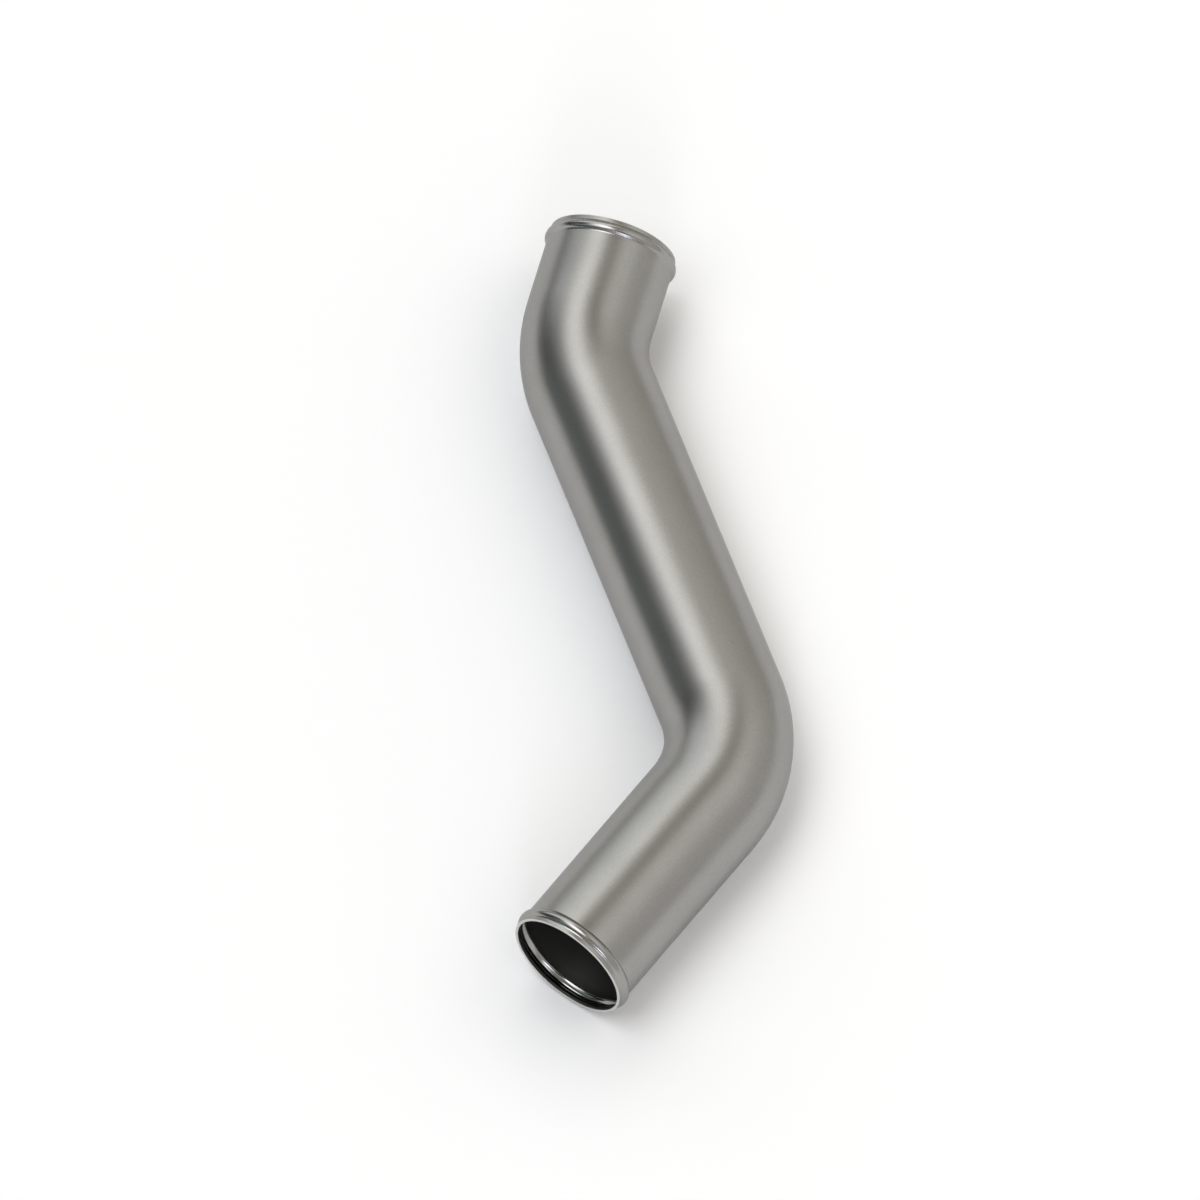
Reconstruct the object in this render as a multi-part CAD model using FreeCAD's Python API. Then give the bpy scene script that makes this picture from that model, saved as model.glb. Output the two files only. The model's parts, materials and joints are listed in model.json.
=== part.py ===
import FreeCAD, Part
import math
import os

# Charge air cooler pipe: one round tube with two bends and a rolled hose bead near each end.
# It lies as it comes to rest, on the middle leg and on the bead of its long end, with z = 0 beneath it.
# x runs along the middle leg. Lengths are in millimetres and angles in degrees.

# tube
outer_diameter = 101.6
wall_thickness = 2.4

# route along the centreline, from the long end to the short end
bend_radius = 101.6
long_leg = 178.8
long_bend_angle = 56.7
middle_leg = 292.7
short_bend_angle = 36.35
short_leg = 67.0
bend_plane_angle = 171.5

# rolled bead, the same at both ends: the wall is pushed outwards and keeps its thickness
bead_height = 2.5
bead_crest_radius = 4.56
bead_foot_radius = 2.3
bead_crest_to_mouth = 8.0

# the sawn ends are deburred
edge_break = 0.4

outer_radius = outer_diameter / 2
inner_radius = outer_radius - wall_thickness

X = FreeCAD.Vector(1, 0, 0)
Y = FreeCAD.Vector(0, 1, 0)
Z = FreeCAD.Vector(0, 0, 1)

# bead profile in the plane of the tube's axis: a crest arc between two foot arcs, all tangent
crest_centre_radius = outer_radius + bead_height - bead_crest_radius
foot_centre_radius = outer_radius + bead_foot_radius
crest_to_foot = bead_crest_radius + bead_foot_radius
crest_to_foot_rise = foot_centre_radius - crest_centre_radius
crest_to_foot_run = math.sqrt(crest_to_foot**2 - crest_to_foot_rise**2)
bead_flank_angle = math.degrees(math.atan2(crest_to_foot_rise, crest_to_foot_run))
mouth_to_bead_start = bead_crest_to_mouth - crest_to_foot_run
mouth_to_bead_end = bead_crest_to_mouth + crest_to_foot_run


def arc(centre_x, centre_y, radius, from_angle, to_angle):
    """Arc in the xy plane about a centre, from one angle to the other.

    It is a spline, because a turned spline meshes with half the facets of a torus.
    """
    points = []
    for angle in (from_angle, (from_angle + to_angle) / 2, to_angle):
        a = math.radians(angle)
        points.append(FreeCAD.Vector(centre_x + radius * math.cos(a), centre_y + radius * math.sin(a), 0))
    return Part.Arc(*points).toShape().toNurbs().Edges[0]


def bead_line(depth):
    """The bead's three arcs at a depth below the tube's outer skin, from the mouth side inwards."""
    start, middle, end = mouth_to_bead_start, bead_crest_to_mouth, mouth_to_bead_end
    foot = bead_foot_radius + depth
    crest = bead_crest_radius - depth
    return [
        arc(start, foot_centre_radius, foot, -90, -bead_flank_angle),
        arc(middle, crest_centre_radius, crest, 180 - bead_flank_angle, bead_flank_angle),
        arc(end, foot_centre_radius, foot, 180 + bead_flank_angle, 270),
    ]


def bead_end():
    """The last stretch of tube: the lip with its deburred rim, and the bead, turned about x."""
    corners = [
        FreeCAD.Vector(mouth_to_bead_end, inner_radius, 0),
        FreeCAD.Vector(mouth_to_bead_end, outer_radius, 0),
        FreeCAD.Vector(mouth_to_bead_start, outer_radius, 0),
        FreeCAD.Vector(edge_break, outer_radius, 0),
        FreeCAD.Vector(0, outer_radius - edge_break, 0),
        FreeCAD.Vector(0, inner_radius + edge_break, 0),
        FreeCAD.Vector(edge_break, inner_radius, 0),
        FreeCAD.Vector(mouth_to_bead_start, inner_radius, 0),
    ]
    inner_side = bead_line(wall_thickness)
    outer_side = bead_line(0)
    lines = [Part.makeLine(corners[0], corners[1])]
    lines += [Part.makeLine(a, b) for a, b in zip(corners[2:], corners[3:])]
    profile = Part.Wire(Part.__sortEdges__(lines + inner_side + outer_side))
    return Part.Face(profile).revolve(FreeCAD.Vector(), X, 360)


def ring(centre, direction):
    """The tube's cross-section."""
    outside = Part.Face(Part.Wire(Part.makeCircle(outer_radius, centre, direction)))
    inside = Part.Face(Part.Wire(Part.makeCircle(inner_radius, centre, direction)))
    return outside.cut(inside)


def straight(start, end):
    """A leg of tube between two points of the centreline."""
    return ring(start, end - start).extrude(end - start)


def bend(vertex, before, after, angle):
    """The elbow at a corner of the route, between the unit directions before and after it."""
    start = vertex - before * tangent_length(angle)
    axis = before.cross(after).normalize()
    towards_centre = axis.cross(before)
    return ring(start, before).revolve(start + towards_centre * bend_radius, axis, angle)


def tangent_length(angle):
    """From a corner of the route to where its bend starts."""
    return bend_radius * math.tan(math.radians(angle) / 2)


def direction(from_x, about_x):
    """Unit vector at one angle from +x and turned by another about x, from +y towards +z."""
    a = math.radians(from_x)
    b = math.radians(about_x)
    return X * math.cos(a) + (Y * math.cos(b) + Z * math.sin(b)) * math.sin(a)


def long_leg_rise():
    """Sine of the long leg's slope at which its bead, a torus, just touches the floor.

    The bead's lowest point is at outer_radius + reach * s - crest_centre_radius * sqrt(1 - s^2)
    - bead_crest_radius above the floor, which is set to zero and solved for s.
    """
    reach = long_leg + tangent_length(long_bend_angle) - bead_crest_to_mouth
    gap = outer_radius - bead_crest_radius
    a = reach**2 + crest_centre_radius**2
    b = reach * gap
    c = gap**2 - crest_centre_radius**2
    return (math.sqrt(b**2 - a * c) - b) / a


def build():
    """The whole pipe as one solid, in its resting place."""
    long_leg_turn = math.degrees(math.asin(long_leg_rise() / math.sin(math.radians(long_bend_angle))))
    to_long_end = direction(180 - long_bend_angle, long_leg_turn)
    to_short_end = direction(short_bend_angle, long_leg_turn + bend_plane_angle)

    long_corner = Z * outer_radius
    long_tangent = tangent_length(long_bend_angle)
    short_tangent = tangent_length(short_bend_angle)
    short_corner = long_corner + X * (long_tangent + middle_leg + short_tangent)
    long_end = long_corner + to_long_end * (long_tangent + long_leg)
    short_end = short_corner + to_short_end * (short_tangent + short_leg)

    pieces = [
        straight(long_end - to_long_end * mouth_to_bead_end, long_corner + to_long_end * long_tangent),
        bend(long_corner, to_long_end * -1, X, long_bend_angle),
        straight(long_corner + X * long_tangent, short_corner - X * short_tangent),
        bend(short_corner, X, to_short_end, short_bend_angle),
        straight(short_corner + to_short_end * short_tangent, short_end - to_short_end * mouth_to_bead_end),
    ]
    for mouth, outwards in ((long_end, to_long_end), (short_end, to_short_end)):
        end = bead_end()
        end.Placement = FreeCAD.Placement(mouth, FreeCAD.Rotation(X, outwards * -1))
        pieces.append(end)
    pipe = pieces[0].multiFuse(pieces[1:]).removeSplitter()

    # the origin is on the floor, below the middle of the pipe's bounding box
    box = pipe.optimalBoundingBox(False, False)
    pipe.translate(FreeCAD.Vector(-box.Center.x, -box.Center.y, 0))
    return pipe


os.makedirs("parts", exist_ok=True)
build().exportStep("parts/pipe.step")
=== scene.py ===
import json
import math

import bpy
import numpy as np
from mathutils import Matrix


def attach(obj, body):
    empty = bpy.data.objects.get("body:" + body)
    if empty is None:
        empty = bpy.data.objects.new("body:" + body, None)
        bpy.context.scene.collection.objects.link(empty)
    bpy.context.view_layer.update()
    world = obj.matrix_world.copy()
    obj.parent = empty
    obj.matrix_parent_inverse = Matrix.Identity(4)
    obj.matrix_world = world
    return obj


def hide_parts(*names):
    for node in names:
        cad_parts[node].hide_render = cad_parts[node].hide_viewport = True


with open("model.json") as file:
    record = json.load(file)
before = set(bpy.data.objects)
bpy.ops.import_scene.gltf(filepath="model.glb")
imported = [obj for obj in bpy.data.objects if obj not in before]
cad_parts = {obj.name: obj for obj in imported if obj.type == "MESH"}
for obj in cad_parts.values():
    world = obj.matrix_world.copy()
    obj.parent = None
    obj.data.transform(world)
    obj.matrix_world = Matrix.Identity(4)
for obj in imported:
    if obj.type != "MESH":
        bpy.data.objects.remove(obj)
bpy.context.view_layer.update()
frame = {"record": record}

bl_info = {
    "name": "Charge air cooler pipe",
    "version": (1, 0, 0),
    "blender": (4, 5, 0),
    "location": "View3D > Sidebar > Charge pipe",
    "description": "Builds a bent stainless tube with rolled hose beads, in a plain studio",
    "category": "Object",
}

MM = 0.001

# slack for comparing distances along the route, in metres
SLACK = 1e-9
# points of the wall's outline that are closer than this, in metres, are one point
SAME_POINT = 1e-7

# the Mix node's sockets share their names: its share, two values or two colours, and its results
SHARE, VALUE_A, VALUE_B, COLOUR_A, COLOUR_B = 0, 2, 3, 6, 7
MIXED_VALUE, MIXED_COLOUR = 0, 2

# the tube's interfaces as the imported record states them: mouths, axes, radii and lengths
mounts = {mount["name"]: mount for mount in frame["record"]["mounts"]}
outer_radius = mounts["long_end_hose_lip"]["dims"]["r_mm"] * MM
inner_radius = mounts["long_end_port"]["dims"]["r_mm"] * MM
wall_thickness = outer_radius - inner_radius


def linear(hex_colour):
    """The linear red, green and blue of an sRGB hex colour."""
    shares = np.array([int(hex_colour[i:i + 2], 16) / 255 for i in (1, 3, 5)])
    return np.where(shares <= 0.04045, shares / 12.92, ((shares + 0.055) / 1.055) ** 2.4)


def direction(azimuth, elevation):
    """Unit vector at an azimuth from +x towards +y and an elevation above the floor, in radians."""
    return np.array([
        math.cos(azimuth) * math.cos(elevation),
        math.sin(azimuth) * math.cos(elevation),
        math.sin(elevation),
    ])


class PipeSizes(bpy.types.PropertyGroup):
    """Sizes of the pipe's skin that the record's mounts don't give."""

    edge_radius: bpy.props.FloatProperty(
        name="Deburred edge", description="Radius of the sawn ends' edges",
        default=0.4 * MM, subtype="DISTANCE", unit="LENGTH",
    )
    bead_height: bpy.props.FloatProperty(
        name="Bead height", description="How far the bead stands above the tube",
        default=2.5 * MM, subtype="DISTANCE", unit="LENGTH",
    )
    bead_crest_radius: bpy.props.FloatProperty(
        name="Bead crest radius", description="Outer radius of the bead's rounded crest",
        default=4.56 * MM, subtype="DISTANCE", unit="LENGTH",
    )
    bead_foot_radius: bpy.props.FloatProperty(
        name="Bead foot radius", description="Radius of the hollow curve on each side of the bead",
        default=2.3 * MM, subtype="DISTANCE", unit="LENGTH",
    )
    bead_to_mouth: bpy.props.FloatProperty(
        name="Bead to mouth", description="From the bead's crest to the sawn end",
        default=8.0 * MM, subtype="DISTANCE", unit="LENGTH",
    )
    around: bpy.props.IntProperty(
        name="Steps around", description="Number of faces round the tube", default=224, min=32,
    )
    arc_steps: bpy.props.IntProperty(
        name="Steps per arc", description="Number of faces along each arc of the bead",
        default=9, min=3,
    )


class PipeFinish(bpy.types.PropertyGroup):
    """Colours and sheen of the stainless steel."""

    colour: bpy.props.FloatVectorProperty(
        name="Steel", description="Colour of the cold-rolled outside",
        subtype="COLOR", default=linear("#A2A19F"),
    )
    colour_dull: bpy.props.FloatVectorProperty(
        name="Dull steel", description="Colour of the duller patches of the outside",
        subtype="COLOR", default=linear("#9B9A96"),
    )
    # the inside's darker colour is painted shade in the tube's hollow
    colour_inside: bpy.props.FloatVectorProperty(
        name="Steel inside", description="Colour of the inside under its thin film of rolling oil",
        subtype="COLOR", default=linear("#8D8E8A"),
    )
    # the rims' lighter colour is a painted highlight
    colour_sawn: bpy.props.FloatVectorProperty(
        name="Sawn steel", description="Colour of the bare, freshly sawn rims",
        subtype="COLOR", default=linear("#D2D1CE"),
    )
    roughness: bpy.props.FloatProperty(
        name="Roughness", description="Roughness of the satin outside",
        default=0.34, min=0, max=1, subtype="FACTOR",
    )
    roughness_inside: bpy.props.FloatProperty(
        name="Roughness inside", description="Roughness of the pickled inside",
        default=0.42, min=0, max=1, subtype="FACTOR",
    )
    roughness_bead: bpy.props.FloatProperty(
        name="Roughness of beads",
        description="Roughness where the bead rollers burnished the wall",
        default=0.25, min=0, max=1, subtype="FACTOR",
    )
    roughness_groove: bpy.props.FloatProperty(
        name="Roughness of grooves",
        description="Roughness of the groove that a bead leaves on the inside",
        default=0.16, min=0, max=1, subtype="FACTOR",
    )
    grain_width: bpy.props.FloatProperty(
        name="Grain width", description="Width of a line of the rolling grain, as drawn",
        default=1.1 * MM, subtype="DISTANCE", unit="LENGTH",
    )
    grain_length: bpy.props.FloatProperty(
        name="Grain length", description="Length of a line of the rolling grain along the tube",
        default=60 * MM, subtype="DISTANCE", unit="LENGTH",
    )
    grain_depth: bpy.props.FloatProperty(
        name="Grain depth", description="Depth of the rolling grain's relief",
        default=0.004 * MM, subtype="DISTANCE", unit="LENGTH",
    )
    grain_sheen: bpy.props.FloatProperty(
        name="Grain sheen", description="How much the grain moves the roughness",
        default=0.02, min=0, max=1, subtype="FACTOR",
    )
    stipple_size: bpy.props.FloatProperty(
        name="Stipple size", description="Size of the pickled surface's grains, as drawn",
        default=0.9 * MM, subtype="DISTANCE", unit="LENGTH",
    )
    stipple_shade: bpy.props.FloatProperty(
        name="Stipple shade",
        description="How much darker the dullest grains are than the brightest",
        default=0.22, min=0, max=1, subtype="FACTOR",
    )
    patch_size: bpy.props.FloatProperty(
        name="Patch size", description="Size of the patches where the sheen varies",
        default=38 * MM, subtype="DISTANCE", unit="LENGTH",
    )
    patch_sheen: bpy.props.FloatProperty(
        name="Patch sheen", description="How much the patches move the roughness",
        default=0.03, min=0, max=1, subtype="FACTOR",
    )
    edge_tint: bpy.props.FloatVectorProperty(
        name="Edge tint", description="Tint of reflections seen at a flat angle",
        subtype="COLOR", default=linear("#D8D8D8"),
    )


class StudioSettings(bpy.types.PropertyGroup):
    """The floor, the light and the camera."""

    floor_colour: bpy.props.FloatVectorProperty(
        name="Floor", description="Colour of the plain floor",
        subtype="COLOR", default=linear("#FEFEFE"),
    )
    floor_size: bpy.props.FloatProperty(
        name="Floor size", description="Side of the square floor",
        default=16.0, subtype="DISTANCE", unit="LENGTH",
    )
    room_light: bpy.props.FloatProperty(
        name="Room light", description="Level of the light from the room itself",
        default=0.61, min=0,
    )
    room_foot_light: bpy.props.FloatProperty(
        name="Room foot light", description="Level of the light from the foot of the room's walls",
        default=0.02, min=0,
    )
    room_foot_height: bpy.props.FloatProperty(
        name="Room foot height",
        description="Height above the horizon where the walls are fully lit",
        default=math.radians(7), subtype="ANGLE", unit="ROTATION",
    )
    camera_azimuth: bpy.props.FloatProperty(
        name="Camera azimuth",
        description="Direction of the camera seen from above, from +x towards +y",
        default=math.radians(158.16), subtype="ANGLE", unit="ROTATION",
    )
    camera_elevation: bpy.props.FloatProperty(
        name="Camera elevation", description="Height of the camera above the horizon",
        default=math.radians(61.17), subtype="ANGLE", unit="ROTATION",
    )
    camera_roll: bpy.props.FloatProperty(
        name="Camera roll", description="Turn of the camera about its own line of sight",
        default=math.radians(1.97), subtype="ANGLE", unit="ROTATION",
    )
    view_width: bpy.props.FloatProperty(
        name="View width", description="Width of floor that the square view shows",
        default=0.94, subtype="DISTANCE", unit="LENGTH",
    )
    view_centre: bpy.props.FloatVectorProperty(
        name="View centre", description="Point in the middle of the view",
        default=(0.01146, -0.00361, 0.05), subtype="XYZ", unit="LENGTH",
    )


def corner_of(mouth, outwards):
    """Where a leg's axis meets the middle leg's, which lies one outer radius above the floor."""
    return mouth - outwards * (mouth[2] - outer_radius) / outwards[2]


def route(edge_radius):
    """The centreline as stretches, each with its start, heading and, for a bend, axis and radius.

    A bend's radius is the distance from its corner to where it starts, over the tangent of half its
    angle. The start of each bend is as far from the mouth as the record's port is deep.
    """
    ends = []
    for name in ("long_end_port", "short_end_port"):
        mouth = np.array(mounts[name]["pos_m"])
        outwards = np.array(mounts[name]["axis"])
        straight = mounts[name]["dims"]["length_mm"] * MM + edge_radius
        corner = corner_of(mouth, outwards)
        tangent = np.linalg.norm(mouth - corner) - straight
        ends.append((mouth, outwards, straight, corner, tangent))
    (mouth, outwards, long_leg, long_corner, long_tangent), short_end = ends
    _, short_outwards, short_leg, short_corner, short_tangent = short_end

    middle = short_corner - long_corner
    middle_leg = np.linalg.norm(middle) - long_tangent - short_tangent
    ahead = middle / np.linalg.norm(middle)
    stretches = []

    def add(start, heading, length, axis=None, radius=None):
        at = stretches[-1]["to"] if stretches else 0.0
        stretches.append(dict(
            at=at, to=at + length, start=start, heading=heading, axis=axis, radius=radius,
        ))

    def add_bend(start, heading, after, tangent):
        angle = math.acos(np.clip(heading @ after, -1, 1))
        axis = np.cross(heading, after)
        radius = tangent / math.tan(angle / 2)
        add(start, heading, radius * angle, axis / np.linalg.norm(axis), radius)

    add(mouth, -outwards, long_leg)
    add_bend(mouth - outwards * long_leg, -outwards, ahead, long_tangent)
    add(long_corner + ahead * long_tangent, ahead, middle_leg)
    add_bend(short_corner - ahead * short_tangent, ahead, short_outwards, short_tangent)
    add(short_corner + short_outwards * short_tangent, short_outwards, short_leg)
    return stretches


def turned(vector, axis, angle):
    """A vector turned about a unit axis by each of many angles.

    It is the vector times the angle's cosine, plus the axis crossed with it times the sine, plus
    its part along the axis times what the cosine lacks of 1.
    """
    cos, sin = np.cos(angle)[:, None], np.sin(angle)[:, None]
    return vector * cos + np.cross(axis, vector) * sin + axis * (axis @ vector) * (1 - cos)


def along_route(stretches, distance):
    """Centreline points at distances from the long mouth, with the tube's own directions there.

    On a straight stretch the point moves ahead and the directions stay. In a bend both turn about
    the bend's axis by the distance over the bend's radius, so nothing twists from end to end.
    """
    points, headings, sides = (np.zeros((len(distance), 3)) for _ in range(3))
    side = np.cross(stretches[0]["heading"], [0, 0, 1])
    side /= np.linalg.norm(side)
    for stretch in stretches:
        here = (distance >= stretch["at"] - SLACK) & (distance <= stretch["to"] + SLACK)
        ahead = distance[here] - stretch["at"]
        heading, start = stretch["heading"], stretch["start"]
        if stretch["axis"] is None:
            points[here] = start + ahead[:, None] * heading
            headings[here] = heading
            sides[here] = side
            continue
        axis, radius = stretch["axis"], stretch["radius"]
        centre = start + np.cross(axis, heading) * radius
        points[here] = centre + turned(start - centre, axis, ahead / radius)
        headings[here] = turned(heading, axis, ahead / radius)
        sides[here] = turned(side, axis, ahead / radius)
        side = turned(side, axis, np.array([(stretch["to"] - stretch["at"]) / radius]))[0]
    return points, headings, sides, np.cross(headings, sides)


def end_profile(sizes, inside):
    """The wall's line near a mouth, from the rim inwards, on its outside or its inside.

    Four arcs follow each other: the rounded edge, the bead's foot, its crest and its other foot.
    The feet are centred one foot radius outside the tube and the crest inside it, so that all are
    tangent. The inner line is the same one wall thickness deeper. Gives distance from the mouth,
    radius, and the outward normal's two parts, away from the mouth and away from the axis.
    """
    depth = wall_thickness if inside else 0.0
    sign = -1 if inside else 1
    crest_height = outer_radius + sizes.bead_height - sizes.bead_crest_radius
    foot_height = outer_radius + sizes.bead_foot_radius
    rise = foot_height - crest_height
    run = math.sqrt((sizes.bead_crest_radius + sizes.bead_foot_radius) ** 2 - rise**2)
    flank = math.atan2(rise, run)
    foot = sizes.bead_foot_radius + depth
    crest = sizes.bead_crest_radius - depth
    edge = sizes.edge_radius
    edge_height = outer_radius - depth - sign * edge
    upright = math.pi / 2
    arcs = (
        (edge, edge_height, edge, math.pi, math.pi - sign * upright, 1),
        (sizes.bead_to_mouth - run, foot_height, foot, -upright, -flank, -sign),
        (sizes.bead_to_mouth, crest_height, crest, math.pi - flank, flank, sign),
        (sizes.bead_to_mouth + run, foot_height, foot, math.pi + flank, math.pi + upright, -sign),
    )
    lines = []
    for centre, height, radius, first, last, facing in arcs:
        angle = np.linspace(first, last, sizes.arc_steps + 1)
        cos, sin = np.cos(angle), np.sin(angle)
        lines.append(np.stack([
            centre + radius * cos, height + radius * sin, facing * cos, facing * sin,
        ]))
    return np.concatenate(lines, axis=1)


def wall_profile(sizes, stretches):
    """The wall's whole outline in distance and radius, as one closed line round both mouths.

    It runs along the outside from the long mouth to the short one, over the rim and back inside.
    The lines between the beads are level, with closer steps in the bends than on the legs.
    """
    total = stretches[-1]["to"]
    straight_step, bend_step = 8 * MM, 2.7 * MM
    sides = []
    for inside in (False, True):
        near = end_profile(sizes, inside)
        far = near[:, ::-1].copy()
        far[0] = total - far[0]
        far[2] = -far[2]
        between = []
        for stretch in stretches:
            first = max(stretch["at"], near[0, -1])
            last = min(stretch["to"], far[0, 0])
            step = straight_step if stretch["axis"] is None else bend_step
            between.append(np.linspace(first, last, math.ceil((last - first) / step) + 1)[1:])
        distance = np.concatenate(between)[:-1]
        radius = np.full_like(distance, inner_radius if inside else outer_radius)
        outward = np.full_like(distance, -1.0 if inside else 1.0)
        level = np.stack([distance, radius, np.zeros_like(distance), outward])
        sides.append(np.concatenate([near, level, far], axis=1))
    outer, inner = sides
    joined = np.concatenate([outer, inner[:, ::-1]], axis=1)
    is_inside = np.concatenate([np.zeros(outer.shape[1]), np.ones(inner.shape[1])])
    apart = np.hypot(*(joined[:2] - np.roll(joined[:2], 1, axis=1))) > SAME_POINT
    return joined[:, apart], is_inside[apart], total


def pipe_mesh(sizes):
    """The pipe's skin: the wall's closed outline carried along the route and turned about it.

    A point is the centreline point at its distance, plus its radius times the tube's side direction
    turned about the centreline by the angle around. The grid closes on itself both ways.
    """
    stretches = route(sizes.edge_radius)
    (distance, radius, lean_ahead, lean_out), is_inside, total = wall_profile(sizes, stretches)
    points, headings, sides, tops = along_route(stretches, distance)
    angle = np.arange(sizes.around) * 2 * math.pi / sizes.around
    spokes = (
        sides[:, None, :] * np.cos(angle)[None, :, None]
        + tops[:, None, :] * np.sin(angle)[None, :, None]
    )
    places = points[:, None, :] + spokes * radius[:, None, None]
    normals = spokes * lean_out[:, None, None] + headings[:, None, :] * lean_ahead[:, None, None]

    rows, columns = len(distance), sizes.around
    row = np.arange(rows)[:, None]
    column = np.arange(columns)[None, :]
    next_row = (row + 1) % rows
    next_column = (column + 1) % columns
    quads = np.stack([
        row * columns + column,
        row * columns + next_column,
        next_row * columns + next_column,
        next_row * columns + column,
    ], axis=-1).reshape(-1, 4)

    mesh = bpy.data.meshes.new("pipe_skin")
    mesh.from_pydata(places.reshape(-1, 3), [], quads)
    mesh.polygons.foreach_set("use_smooth", np.ones(len(quads), bool))
    mesh.normals_split_custom_set_from_vertices(normals.reshape(-1, 3))

    # each point's place on the tube before it was bent, so that the finish follows the bends
    straightened = np.stack([
        radius[:, None] * np.cos(angle)[None, :],
        radius[:, None] * np.sin(angle)[None, :],
        np.repeat(distance[:, None], columns, axis=1),
    ], axis=-1)
    attribute = mesh.attributes.new("straightened", "FLOAT_VECTOR", "POINT")
    attribute.data.foreach_set("vector", straightened.astype(np.float32).ravel())

    # the rollers burnished the wall as far as this from the bead's crest, and less within the fade
    burnished_half, fade = 4.5 * MM, 1.2 * MM
    from_mouth = np.minimum(distance, total - distance)
    from_crest = np.abs(from_mouth - sizes.bead_to_mouth)
    burnished = np.clip((burnished_half + fade - from_crest) / fade, 0, 1)
    rings = {"inside": is_inside, "burnished": burnished, "from_mouth": from_mouth}
    for name, values in rings.items():
        attribute = mesh.attributes.new(name, "FLOAT", "POINT")
        attribute.data.foreach_set("value", np.repeat(values, columns).astype(np.float32))
    mesh.update()
    return mesh


def add_node(tree, kind, inputs=None, **settings):
    """Adds a node with its settings; an input is either a value or another node's output socket."""
    node = tree.nodes.new(kind)
    for name, value in settings.items():
        setattr(node, name, value)
    for name, value in (inputs or {}).items():
        if isinstance(value, bpy.types.NodeSocket):
            tree.links.new(value, node.inputs[name])
        else:
            node.inputs[name].default_value = value
    return node


def rgba(colour):
    """A colour with full opacity."""
    return (*colour, 1.0)


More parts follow.
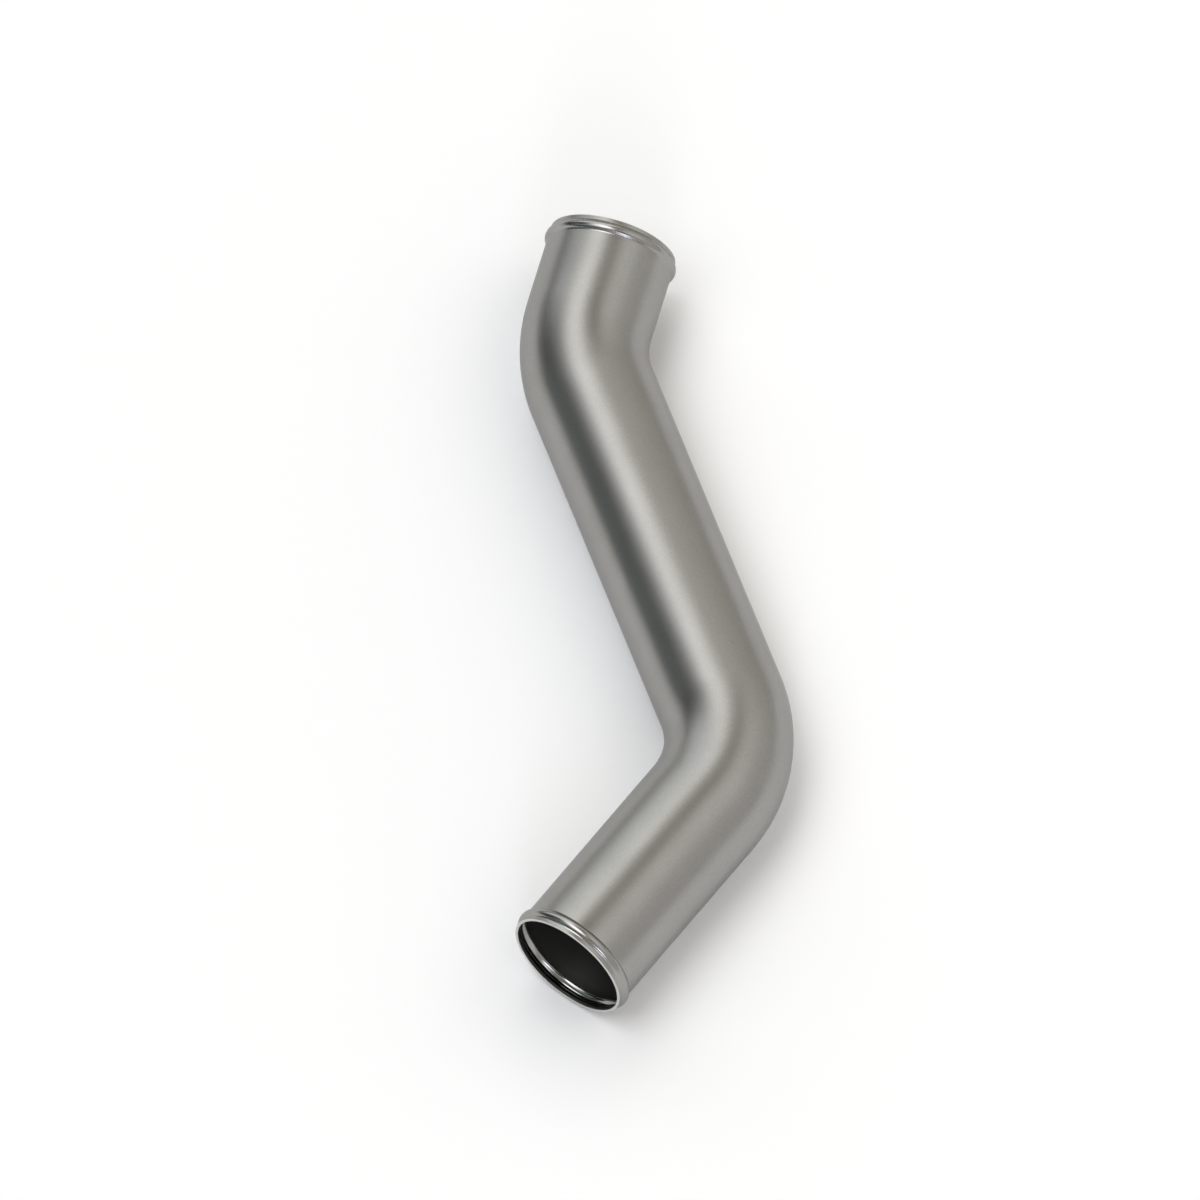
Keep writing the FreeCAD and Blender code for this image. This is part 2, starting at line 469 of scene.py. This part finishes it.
def cold_rolled_stainless(finish, edge_radius):
    """Stainless steel, cold rolled to a satin 2B mill finish, bent on a mandrel and sawn off.

    To the eye: a soft grey sheen whose reflections fade at their edges, with very fine lines from
    the rolls along the tube, faintly duller patches and the fine stipple that pickling leaves. The
    beads, which rollers burnished, reflect more crisply, and so do the grooves behind them. The
    rest of the inside is duller, and its darker colour is painted shade in the tube's hollow. The
    sawn rims get a lighter colour, a painted highlight.
    """
    material = bpy.data.materials.new("cold_rolled_stainless_2b")
    material.use_nodes = True
    tree = material.node_tree
    tree.nodes.clear()

    place = add_node(tree, "ShaderNodeAttribute", attribute_name="straightened").outputs["Vector"]
    inside, burnished, from_mouth = (
        add_node(tree, "ShaderNodeAttribute", attribute_name=name).outputs["Fac"]
        for name in ("inside", "burnished", "from_mouth")
    )
    # the sawn rims get a lighter colour, a painted highlight of the thin light ring at each mouth
    sawn = add_node(
        tree, "ShaderNodeMath", {0: from_mouth, 1: edge_radius}, operation="LESS_THAN",
    ).outputs["Value"]

    # the bead rollers pressed the grain flat and burnished the wall, in the groove inside too;
    # the rest of the inside gets a darker colour, painted shade in the tube's hollow
    untouched = add_node(
        tree, "ShaderNodeMath", {0: 1.0, 1: burnished}, operation="SUBTRACT",
    ).outputs["Value"]
    oiled = add_node(
        tree, "ShaderNodeMath", {0: inside, 1: untouched}, operation="MULTIPLY",
    ).outputs["Value"]

    # the real lines are about 0.02 mm wide; they are drawn wide enough to show in the render
    across, lengthwise = 1 / finish.grain_width, 1 / finish.grain_length
    stretched = add_node(
        tree, "ShaderNodeVectorMath", {0: place, 1: (across, across, lengthwise)},
        operation="MULTIPLY",
    ).outputs["Vector"]
    grain = add_node(
        tree, "ShaderNodeTexNoise",
        {"Vector": stretched, "Scale": 1.0, "Detail": 3.0, "Roughness": 0.6},
    ).outputs["Fac"]

    # the strip's rolling and pickling vary from place to place, over a few centimetres
    patches = add_node(
        tree, "ShaderNodeTexNoise",
        {"Vector": place, "Scale": 1 / finish.patch_size, "Detail": 3.0, "Roughness": 0.55},
    ).outputs["Fac"]

    # pickling leaves grains of about 0.03 mm; they are drawn coarse enough to show in the render
    stipple = add_node(
        tree, "ShaderNodeTexNoise",
        {"Vector": place, "Scale": 1 / finish.stipple_size, "Detail": 0.0},
    ).outputs["Fac"]

    colour_outside = add_node(
        tree, "ShaderNodeMix",
        {SHARE: patches, COLOUR_A: rgba(finish.colour), COLOUR_B: rgba(finish.colour_dull)},
        data_type="RGBA",
    ).outputs[MIXED_COLOUR]
    # a darker colour on the inside, except in the grooves: painted shade in the tube's hollow
    colour_rolled = add_node(
        tree, "ShaderNodeMix",
        {SHARE: oiled, COLOUR_A: colour_outside, COLOUR_B: rgba(finish.colour_inside)},
        data_type="RGBA",
    ).outputs[MIXED_COLOUR]
    # the lighter rim colour is a painted highlight
    colour_plain = add_node(
        tree, "ShaderNodeMix",
        {SHARE: sawn, COLOUR_A: colour_rolled, COLOUR_B: rgba(finish.colour_sawn)},
        data_type="RGBA",
    ).outputs[MIXED_COLOUR]

    # the stipple makes the colour a little brighter or darker, but not where it was pressed flat
    tone = add_node(
        tree, "ShaderNodeMath",
        {0: stipple, 1: -finish.stipple_shade, 2: finish.stipple_shade / 2},
        operation="MULTIPLY_ADD",
    ).outputs["Value"]
    shade = add_node(
        tree, "ShaderNodeMath", {0: tone, 1: untouched, 2: 1.0}, operation="MULTIPLY_ADD",
    ).outputs["Value"]
    colour = add_node(
        tree, "ShaderNodeVectorMath", {0: colour_plain, 1: shade}, operation="MULTIPLY",
    ).outputs["Vector"]

    # grain and patches each move the roughness a little to both sides of its level
    outer = add_node(
        tree, "ShaderNodeMix",
        {SHARE: burnished, VALUE_A: finish.roughness, VALUE_B: finish.roughness_bead},
    ).outputs[MIXED_VALUE]
    inner = add_node(
        tree, "ShaderNodeMix",
        {SHARE: burnished, VALUE_A: finish.roughness_inside, VALUE_B: finish.roughness_groove},
    ).outputs[MIXED_VALUE]
    roughness = add_node(
        tree, "ShaderNodeMix", {SHARE: inside, VALUE_A: outer, VALUE_B: inner},
    ).outputs[MIXED_VALUE]
    for pattern, sheen in ((grain, finish.grain_sheen), (patches, finish.patch_sheen)):
        change = add_node(
            tree, "ShaderNodeMath", {0: pattern, 1: 2 * sheen, 2: -sheen},
            operation="MULTIPLY_ADD",
        ).outputs["Value"]
        roughness = add_node(
            tree, "ShaderNodeMath", {0: roughness, 1: change}, operation="ADD",
        ).outputs["Value"]

    relief = add_node(
        tree, "ShaderNodeBump",
        {"Height": grain, "Strength": untouched, "Distance": finish.grain_depth},
    ).outputs["Normal"]
    shader = add_node(tree, "ShaderNodeBsdfPrincipled", {
        "Base Color": colour, "Metallic": 1.0, "Roughness": roughness, "Normal": relief,
        "Specular Tint": rgba(finish.edge_tint),
    })
    add_node(tree, "ShaderNodeOutputMaterial", {"Surface": shader.outputs["BSDF"]})
    return material


def matt_floor(colour):
    """Plain pale studio floor: board painted matt, which shows a faint unevenness of its paint."""
    material = bpy.data.materials.new("matt_painted_floor")
    material.use_nodes = True
    tree = material.node_tree
    tree.nodes.clear()
    patches_per_metre, darkest_patch = 3.0, 0.99
    place = add_node(tree, "ShaderNodeTexCoord").outputs["Object"]
    paint = add_node(
        tree, "ShaderNodeTexNoise", {"Vector": place, "Scale": patches_per_metre, "Detail": 2.0},
    ).outputs["Fac"]
    tone = add_node(
        tree, "ShaderNodeMix",
        {SHARE: paint, COLOUR_A: rgba(colour), COLOUR_B: rgba(darkest_patch * np.array(colour))},
        data_type="RGBA",
    ).outputs[MIXED_COLOUR]
    shader = add_node(tree, "ShaderNodeBsdfPrincipled", {
        "Base Color": tone, "Roughness": 0.9, "Specular IOR Level": 0.1,
    })
    add_node(tree, "ShaderNodeOutputMaterial", {"Surface": shader.outputs["BSDF"]})
    return material


# The room around the object: soft patches of light and shade, each an ellipse on the sky with its
# azimuth, elevation, half width, half height and turn in degrees, the softness of its edge as a
# share of its size, its level and its colour. A later patch lies over an earlier one.
SKY_PATCHES = (
    ("rear_window", 160, 33, 20, 6.4, 80, 0.24, 6.8, "#E6EBFF"),
    ("window", -6, 62, 30, 27, -94, 0.24, 2.92, "#FFFDF8"),
    ("rear_softbox", -100, 64, 39, 28, -101, 0.72, 1.13, "#FFFDF9"),
    ("key_softbox", 86, 65, 25, 19, -95, 0.2, 5.5, "#FAFBFF"),
    ("dark_wall", 72, 5, 56, 52, -65, 0.38, 0.02, "#FFFFFF"),
    ("ceiling_gap", -48, 69, 22, 13, -84, 0.54, 0.17, "#FFF1C1"),
    ("side_wall", -148, 12, 60, 14, 26, 0.2, 0.7, "#FFFCFA"),
    ("side_window", 11, 35, 27, 14, -45, 0.47, 1.4, "#FAFDFF"),
    ("rear_gap", 164, 60, 26, 10, -88, 0.29, 0.03, "#FFFFFF"),
    ("grey_strip", 84, 27, 19, 6.2, 29, 0.31, 0.79, "#DBFCFA"),
)


def sky_patch(tree, way, light, azimuth, elevation, width, height, turn, softness, level, colour):
    """Lays one soft ellipse over the light so far.

    The direction's parts across and up the patch are each divided by the patch's half size. Where
    their length is under 1 the patch shows, and it fades out round that line.
    """
    azimuth, elevation, turn = (math.radians(angle) for angle in (azimuth, elevation, turn))
    middle = direction(azimuth, elevation)
    level_side = np.array([-math.sin(azimuth), math.cos(azimuth), 0])
    level_up = np.cross(middle, level_side)
    across = level_side * math.cos(turn) + level_up * math.sin(turn)
    upwards = level_up * math.cos(turn) - level_side * math.sin(turn)
    parts = []
    for axis, size in ((across, width), (upwards, height)):
        scaled = axis / math.sin(math.radians(size))
        parts.append(add_node(
            tree, "ShaderNodeVectorMath", {0: way, 1: scaled}, operation="DOT_PRODUCT",
        ).outputs["Value"])
    spread = add_node(
        tree, "ShaderNodeCombineXYZ", {"X": parts[0], "Y": parts[1]},
    ).outputs["Vector"]
    reach = add_node(
        tree, "ShaderNodeVectorMath", {0: spread}, operation="LENGTH",
    ).outputs["Value"]
    inside = add_node(
        tree, "ShaderNodeMapRange",
        {"Value": reach, "From Min": 1 + softness, "From Max": 1 - softness},
        interpolation_type="SMOOTHSTEP",
    ).outputs["Result"]

    # the ellipse shows on this side of the sky only, and not straight across from it too
    facing = add_node(
        tree, "ShaderNodeVectorMath", {0: way, 1: middle}, operation="DOT_PRODUCT",
    ).outputs["Value"]
    front = add_node(
        tree, "ShaderNodeMath", {0: facing, 1: 0.0}, operation="GREATER_THAN",
    ).outputs["Value"]
    shown = add_node(
        tree, "ShaderNodeMath", {0: inside, 1: front}, operation="MULTIPLY",
    ).outputs["Value"]
    return add_node(
        tree, "ShaderNodeMix",
        {SHARE: shown, COLOUR_A: light, COLOUR_B: rgba(level * linear(colour))},
        data_type="RGBA",
    ).outputs[MIXED_COLOUR]


def studio_sky(settings):
    """The room's light: walls that are dark at their foot, with the SKY_PATCHES over them.

    Below the horizon it has the floor's colour, as if the floor had no end.
    """
    world = bpy.data.worlds.new("studio_sky")
    world.use_nodes = True
    tree = world.node_tree
    tree.nodes.clear()
    way = add_node(tree, "ShaderNodeTexCoord").outputs["Generated"]
    height = add_node(tree, "ShaderNodeSeparateXYZ", {"Vector": way}).outputs["Z"]
    lit = add_node(
        tree, "ShaderNodeMapRange",
        {"Value": height, "From Max": math.sin(settings.room_foot_height)},
        interpolation_type="SMOOTHSTEP",
    ).outputs["Result"]
    wall = linear("#FFFBF0")
    wall_foot, wall_lit = rgba(settings.room_foot_light * wall), rgba(settings.room_light * wall)
    light = add_node(
        tree, "ShaderNodeMix", {SHARE: lit, COLOUR_A: wall_foot, COLOUR_B: wall_lit},
        data_type="RGBA",
    ).outputs[MIXED_COLOUR]
    for _, *patch in SKY_PATCHES:
        light = sky_patch(tree, way, light, *patch)
    below = add_node(
        tree, "ShaderNodeMath", {0: height, 1: 0.0}, operation="LESS_THAN",
    ).outputs["Value"]
    light = add_node(
        tree, "ShaderNodeMix",
        {SHARE: below, COLOUR_A: light, COLOUR_B: rgba(settings.floor_colour)},
        data_type="RGBA",
    ).outputs[MIXED_COLOUR]
    background = add_node(tree, "ShaderNodeBackground", {"Color": light, "Strength": 1.0})
    add_node(tree, "ShaderNodeOutputWorld", {"Surface": background.outputs["Background"]})
    bpy.context.scene.world = world


def add_camera(settings):
    """The photograph's view: parallel lines of sight from above, with the floor all round."""
    # metres from the middle of the view, and how far the camera sees
    distance, reach = 3.0, 20.0
    back = direction(settings.camera_azimuth, settings.camera_elevation)
    level_right = np.array([
        -math.sin(settings.camera_azimuth), math.cos(settings.camera_azimuth), 0,
    ])
    level_up = np.cross(back, level_right)
    roll = settings.camera_roll
    right = level_right * math.cos(roll) + level_up * math.sin(roll)
    up = level_up * math.cos(roll) - level_right * math.sin(roll)
    data = bpy.data.cameras.new("camera")
    data.type = "ORTHO"
    data.ortho_scale = settings.view_width
    data.clip_end = reach
    camera = bpy.data.objects.new("camera", data)
    bpy.context.scene.collection.objects.link(camera)
    place = np.eye(4)
    place[:3, 0], place[:3, 1], place[:3, 2] = right, up, back
    place[:3, 3] = np.array(settings.view_centre) + distance * back
    camera.matrix_world = Matrix(place.tolist())
    bpy.context.scene.camera = camera


class BuildPipe(bpy.types.Operator):
    """Build the pipe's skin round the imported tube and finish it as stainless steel"""

    bl_idname = "charge_pipe.build_pipe"
    bl_label = "Build pipe"

    def execute(self, context):
        scene = context.scene
        sizes = scene.pipe_sizes
        pipe = bpy.data.objects.new("pipe_skin", pipe_mesh(sizes))
        scene.collection.objects.link(pipe)
        pipe.data.materials.append(cold_rolled_stainless(scene.pipe_finish, sizes.edge_radius))
        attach(pipe, "root")
        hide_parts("pipe")
        return {"FINISHED"}


class BuildStudio(bpy.types.Operator):
    """Add the plain floor, the soft light and the camera"""

    bl_idname = "charge_pipe.build_studio"
    bl_label = "Build studio"

    def execute(self, context):
        settings = context.scene.pipe_studio
        half = settings.floor_size / 2
        corners = [(-half, -half, 0), (half, -half, 0), (half, half, 0), (-half, half, 0)]
        mesh = bpy.data.meshes.new("floor")
        mesh.from_pydata(corners, [], [(0, 1, 2, 3)])
        floor = bpy.data.objects.new("floor", mesh)
        context.scene.collection.objects.link(floor)
        floor.data.materials.append(matt_floor(settings.floor_colour))
        studio_sky(settings)
        add_camera(settings)
        context.scene.view_settings.view_transform = "Standard"
        return {"FINISHED"}


class PipePanel(bpy.types.Panel):
    """The pipe's sizes, finish and studio"""

    bl_idname = "VIEW3D_PT_charge_pipe"
    bl_label = "Charge air cooler pipe"
    bl_space_type = "VIEW_3D"
    bl_region_type = "UI"
    bl_category = "Charge pipe"

    def draw(self, context):
        boxes = ((BuildPipe, ("pipe_sizes", "pipe_finish")), (BuildStudio, ("pipe_studio",)))
        for operator, owners in boxes:
            box = self.layout.box()
            for owner in owners:
                settings = getattr(context.scene, owner)
                for name in settings.__annotations__:
                    box.prop(settings, name)
            box.operator(operator.bl_idname)


CLASSES = (PipeSizes, PipeFinish, StudioSettings, BuildPipe, BuildStudio, PipePanel)
OWNERS = (
    ("pipe_sizes", PipeSizes), ("pipe_finish", PipeFinish), ("pipe_studio", StudioSettings),
)


def register():
    """Registers the classes and gives the scene each group of settings."""
    for each in CLASSES:
        bpy.utils.register_class(each)
    for name, group in OWNERS:
        setattr(bpy.types.Scene, name, bpy.props.PointerProperty(type=group))


def unregister():
    """Takes the settings and the classes away again."""
    for name, _ in OWNERS:
        delattr(bpy.types.Scene, name)
    for each in reversed(CLASSES):
        bpy.utils.unregister_class(each)


def main():
    """Builds the pipe and the studio."""
    register()
    bpy.ops.charge_pipe.build_pipe()
    bpy.ops.charge_pipe.build_studio()


if __name__ == "__main__":
    main()
